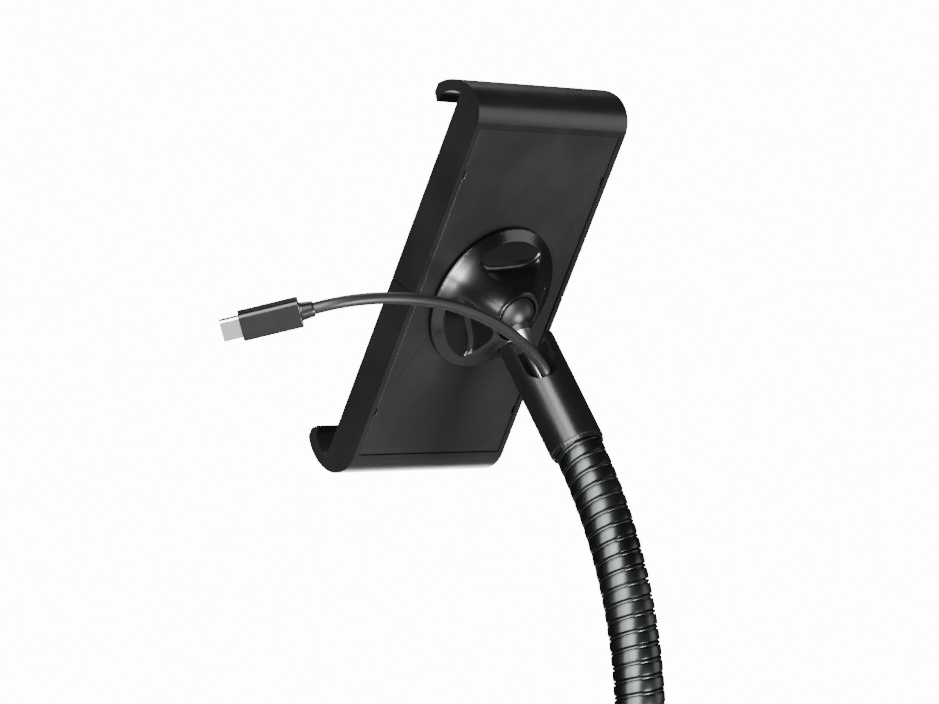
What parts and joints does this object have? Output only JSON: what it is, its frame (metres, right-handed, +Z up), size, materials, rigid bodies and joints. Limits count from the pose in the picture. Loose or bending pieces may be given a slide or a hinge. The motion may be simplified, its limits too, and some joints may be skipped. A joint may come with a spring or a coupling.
{
  "type": "tablet floor stand",
  "caption": "Floor stand for a tablet: weighted round base, telescopic column, bendable gooseneck, ball joint with clamp knob and a spring clamp holder, with its charging lead",
  "frame": {"origin": "centre of the base pad's underside, on the column axis, at the level of the floor", "axes": "+Z up the column; the holder leans out toward -Y and faces it; +X is to the right of someone who looks along +Y"},
  "size_m": [0.263, 0.3434, 1.2947],
  "materials": {
    "cast_black": "fine matte black paint over cast iron",
    "foam_pad": "black foam rubber",
    "plated_steel": "zinc plated",
    "coated_steel": "satin black powder coat",
    "neck_steel": "satin black coated winding",
    "adapter_black": "satin black coat with a fine grain",
    "ball_black": "black ball, bright stud neck",
    "moulded_black": "satin black moulding",
    "inner_moulding": "plain dark moulding",
    "pale_nylon": "natural nylon",
    "grip_rubber": "soft matte rubber",
    "lead_jacket": "matte black jacket",
    "plug_black": "fine matte black moulding",
    "plug_shell": "plated shell"
  },
  "bodies": {
    "stand": {"base_plate": "cast_black", "base_pad": "foam_pad", "base_bolt": "plated_steel", "base_washer": "plated_steel", "column_foot": "coated_steel", "foot_grommet": "grip_rubber", "lower_tube": "coated_steel", "tube_gland": "moulded_black", "collar_base": "moulded_black", "lower_lead": "lead_jacket", "lead_coil": "lead_jacket", "coil_tie": "lead_jacket", "lead_tail": "lead_jacket", "supply_boot": "lead_jacket", "supply_plug": "plug_black", "supply_shell": "plug_shell"},
    "collar": {"height_collar": "moulded_black"},
    "mast": {"upper_tube": "coated_steel", "glide_bush": "inner_moulding", "neck_ferrule": "coated_steel"},
    "link_1": {"neck_link_1": "neck_steel"},
    "link_2": {"neck_link_2": "neck_steel"},
    "link_3": {"neck_link_3": "neck_steel"},
    "link_4": {"neck_link_4": "neck_steel"},
    "link_5": {"neck_link_5": "neck_steel"},
    "link_6": {"neck_link_6": "neck_steel"},
    "link_7": {"neck_link_7": "neck_steel"},
    "link_8": {"neck_link_8": "neck_steel"},
    "link_9": {"neck_link_9": "neck_steel"},
    "link_10": {"neck_link_10": "neck_steel"},
    "link_11": {"neck_link_11": "neck_steel"},
    "link_12": {"neck_link_12": "neck_steel"},
    "link_13": {"neck_link_13": "neck_steel"},
    "adapter": {"neck_link_14": "neck_steel", "top_adapter": "adapter_black", "stud_seat": "plated_steel", "upper_lead": "lead_jacket", "lead_boot": "lead_jacket", "device_plug": "plug_black", "device_shell": "plug_shell"},
    "stud": {"ball_stud": "ball_black"},
    "cup": {"ball_cup": "inner_moulding"},
    "holder": {"socket_housing": "moulded_black", "housing_screws": "plated_steel", "core_frame": "inner_moulding", "back_cover": "moulded_black", "spring_left": "plated_steel", "spring_right": "plated_steel", "pinion_screw": "plated_steel"},
    "knob": {"lock_knob": "moulded_black"},
    "jaw_up": {"upper_jaw": "moulded_black", "upper_pad": "grip_rubber"},
    "jaw_low": {"lower_jaw": "moulded_black", "lower_pad": "grip_rubber"},
    "pinion": {"sync_pinion": "pale_nylon"}
  },
  "joints": [
    {"name": "column_slide", "type": "slide", "parent": "stand", "child": "mast", "axis": [0, 0, 1], "range_m": [-0.19, 0.15]},
    {"name": "collar_turn", "type": "hinge", "parent": "stand", "child": "collar", "pos_m": [0, 0, 0.515], "axis": [0, 0, 1], "range_deg": [0, 90]},
    {"name": "neck_bend_1", "type": "hinge", "parent": "mast", "child": "link_1", "pos_m": [0, 0, 0.8], "axis": [1, 0, 0], "range_deg": [-4.5, 4.5]},
    {"name": "neck_bend_2", "type": "hinge", "parent": "link_1", "child": "link_2", "pos_m": [0, 0, 0.8265], "axis": [1, 0, 0], "range_deg": [-4.5, 4.5]},
    {"name": "neck_bend_3", "type": "hinge", "parent": "link_2", "child": "link_3", "pos_m": [0, 0, 0.853], "axis": [1, 0, 0], "range_deg": [-4.5, 4.5]},
    {"name": "neck_bend_4", "type": "hinge", "parent": "link_3", "child": "link_4", "pos_m": [0, 0, 0.8795], "axis": [1, 0, 0], "range_deg": [-4.5, 4.5]},
    {"name": "neck_bend_5", "type": "hinge", "parent": "link_4", "child": "link_5", "pos_m": [0, 0, 0.906], "axis": [1, 0, 0], "range_deg": [-4.5, 4.5]},
    {"name": "neck_bend_6", "type": "hinge", "parent": "link_5", "child": "link_6", "pos_m": [0, 0, 0.9325], "axis": [1, 0, 0], "range_deg": [-4.5, 4.5]},
    {"name": "neck_bend_7", "type": "hinge", "parent": "link_6", "child": "link_7", "pos_m": [0, 0, 0.959], "axis": [1, 0, 0], "range_deg": [-4.5, 4.5]},
    {"name": "neck_bend_8", "type": "hinge", "parent": "link_7", "child": "link_8", "pos_m": [0, 0, 0.9855], "axis": [1, 0, 0], "range_deg": [-4.5, 4.5]},
    {"name": "neck_bend_9", "type": "hinge", "parent": "link_8", "child": "link_9", "pos_m": [0, 0, 1.012], "axis": [1, 0, 0], "range_deg": [-4.5, 4.5]},
    {"name": "neck_bend_10", "type": "hinge", "parent": "link_9", "child": "link_10", "pos_m": [0, 0, 1.0385], "axis": [1, 0, 0], "range_deg": [-4.5, 4.5]},
    {"name": "neck_bend_11", "type": "hinge", "parent": "link_10", "child": "link_11", "pos_m": [0, 0, 1.065], "axis": [1, 0, 0], "range_deg": [-4.5, 4.5]},
    {"name": "neck_bend_12", "type": "hinge", "parent": "link_11", "child": "link_12", "pos_m": [0, -0.00199, 1.0914], "axis": [1, 0, 0], "range_deg": [-4.5, 4.5]},
    {"name": "neck_bend_13", "type": "hinge", "parent": "link_12", "child": "link_13", "pos_m": [0, -0.00792, 1.1172], "axis": [1, 0, 0], "range_deg": [-4.5, 4.5]},
    {"name": "neck_bend_14", "type": "hinge", "parent": "link_13", "child": "adapter", "pos_m": [0, -0.01765, 1.14183], "axis": [1, 0, 0], "range_deg": [-4.5, 4.5]},
    {"name": "ball_pan", "type": "hinge", "parent": "adapter", "child": "stud", "pos_m": [0, -0.06381, 1.21251], "axis": [0, -0.5664, 0.8241], "range_deg": [-40, 40]},
    {"name": "ball_tilt", "type": "hinge", "parent": "stud", "child": "cup", "pos_m": [0, -0.06381, 1.21251], "axis": [1, 0, 0], "range_deg": [-58, 3.5]},
    {"name": "holder_roll", "type": "hinge", "parent": "cup", "child": "holder", "pos_m": [0, -0.06381, 1.21251], "axis": [0, 0.8801, -0.4749], "continuous": true},
    {"name": "knob_turn", "type": "hinge", "parent": "holder", "child": "knob", "pos_m": [0, -0.06381, 1.21251], "axis": [0, 0.8801, -0.4749], "range_deg": [0, 180]},
    {"name": "upper_jaw_slide", "type": "slide", "parent": "holder", "child": "jaw_up", "axis": [0, 0.4749, 0.8801], "range_m": [0, 0.035], "stiffness_N_per_m": 150, "springref_m": -0.03, "deforming": ["spring_left", "spring_right"]},
    {"name": "lower_jaw_slide", "type": "slide", "parent": "holder", "child": "jaw_low", "axis": [0, -0.4749, -0.8801], "range_m": [0, 0.035]},
    {"name": "pinion_spin", "type": "hinge", "parent": "holder", "child": "pinion", "pos_m": [0, -0.06381, 1.21251], "axis": [0, 0.8801, -0.4749], "range_deg": [0, 286.6]}
  ],
  "couplings": [
    {"joint": "lower_jaw_slide", "follows": "upper_jaw_slide", "ratio": 1},
    {"joint": "pinion_spin", "follows": "upper_jaw_slide", "rad_per_m": 142.86}
  ]
}
